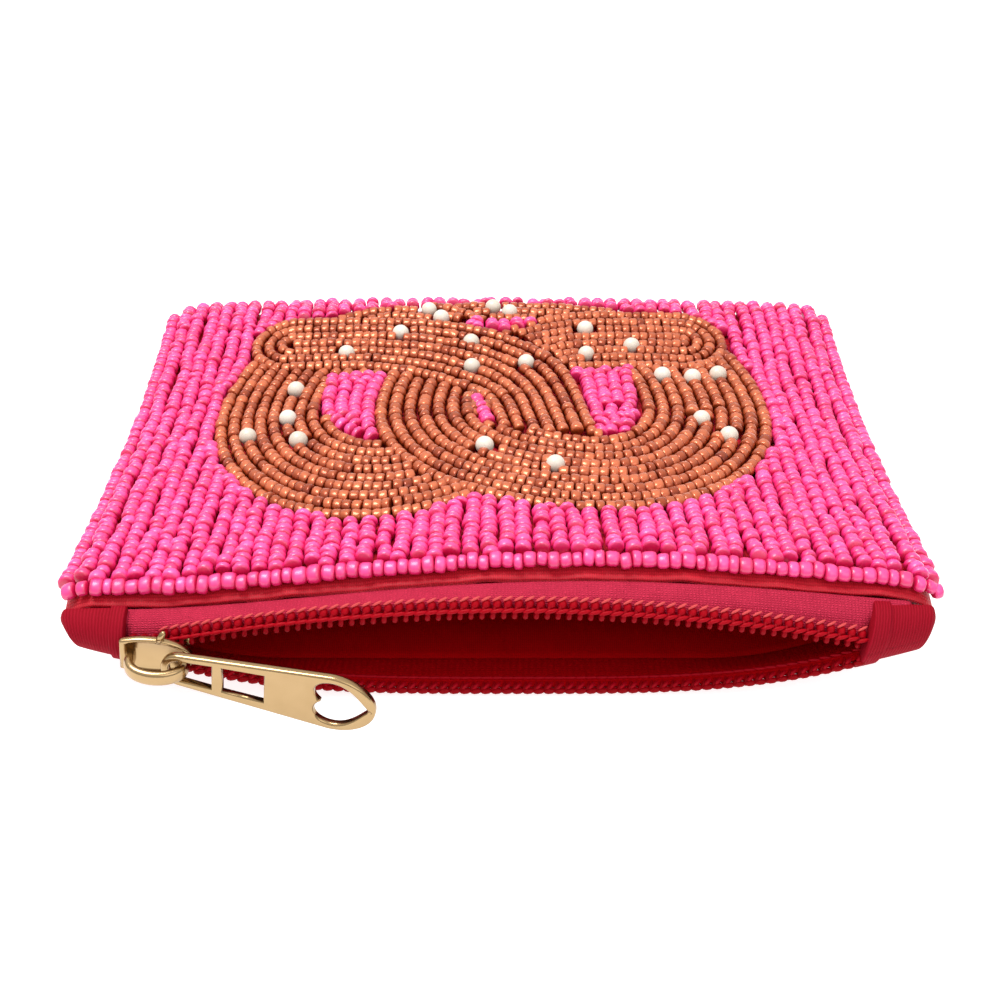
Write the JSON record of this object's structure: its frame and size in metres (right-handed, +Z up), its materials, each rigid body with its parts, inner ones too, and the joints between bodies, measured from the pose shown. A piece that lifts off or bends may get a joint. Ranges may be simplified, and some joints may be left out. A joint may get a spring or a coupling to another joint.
{
  "type": "beaded zip purse",
  "caption": "Flat zip coin purse with a bead-covered front panel carrying a beaded pretzel figure with pearls, lying open, with a swinging metal zip pull.",
  "frame": {"origin": "middle of the flat resting face under the back panel", "axes": "+X to the right along the zip, -Y out of the mouth, +Z up from the table"},
  "size_m": [0.1255, 0.1102, 0.021],
  "materials": {
    "crimson_cloth": "satin weave",
    "lining_cloth": "smooth satin",
    "pink_beads": "opaque glass seed beads, satin gloss",
    "bronze_beads": "metallic bronze cut beads",
    "pearls": "ivory pearl gloss",
    "zip_tape": "woven polyester",
    "zip_coil": "moulded nylon coil",
    "gold_metal": "polished pale gold plating"
  },
  "bodies": {
    "purse": {"back_panel": "crimson_cloth", "front_panel": "crimson_cloth", "lining_front": "lining_cloth", "lining_back": "lining_cloth", "bead_field": "pink_beads", "bead_patch_left": "pink_beads", "bead_patch_right": "pink_beads", "bead_patch_far": "pink_beads", "pretzel_motif": "bronze_beads", "border_strand": "pink_beads", "zip_tape_upper": "zip_tape", "zip_tape_lower": "zip_tape", "zip_coil_upper": "zip_coil", "zip_coil_lower": "zip_coil", "end_tab_left": "zip_tape", "end_tab_right": "zip_tape", "slider": "gold_metal", "pearl_01": "pearls", "pearl_02": "pearls", "pearl_03": "pearls", "pearl_04": "pearls", "pearl_05": "pearls", "pearl_06": "pearls", "pearl_07": "pearls", "pearl_08": "pearls", "pearl_09": "pearls", "pearl_10": "pearls", "pearl_11": "pearls", "pearl_12": "pearls", "pearl_13": "pearls", "pearl_14": "pearls", "pearl_15": "pearls", "pearl_16": "pearls", "pearl_17": "pearls", "pearl_18": "pearls", "pearl_19": "pearls", "pearl_20": "pearls", "pearl_21": "pearls", "pearl_22": "pearls", "pearl_23": "pearls"},
    "pull_tab": {"pull": "gold_metal"}
  },
  "joints": [
    {"name": "pull_swing", "type": "hinge", "parent": "purse", "child": "pull_tab", "pos_m": [-0.046, -0.05645, 0.0086], "axis": [0.1045, 0, 0.9945], "range_deg": [-160, 10]}
  ]
}
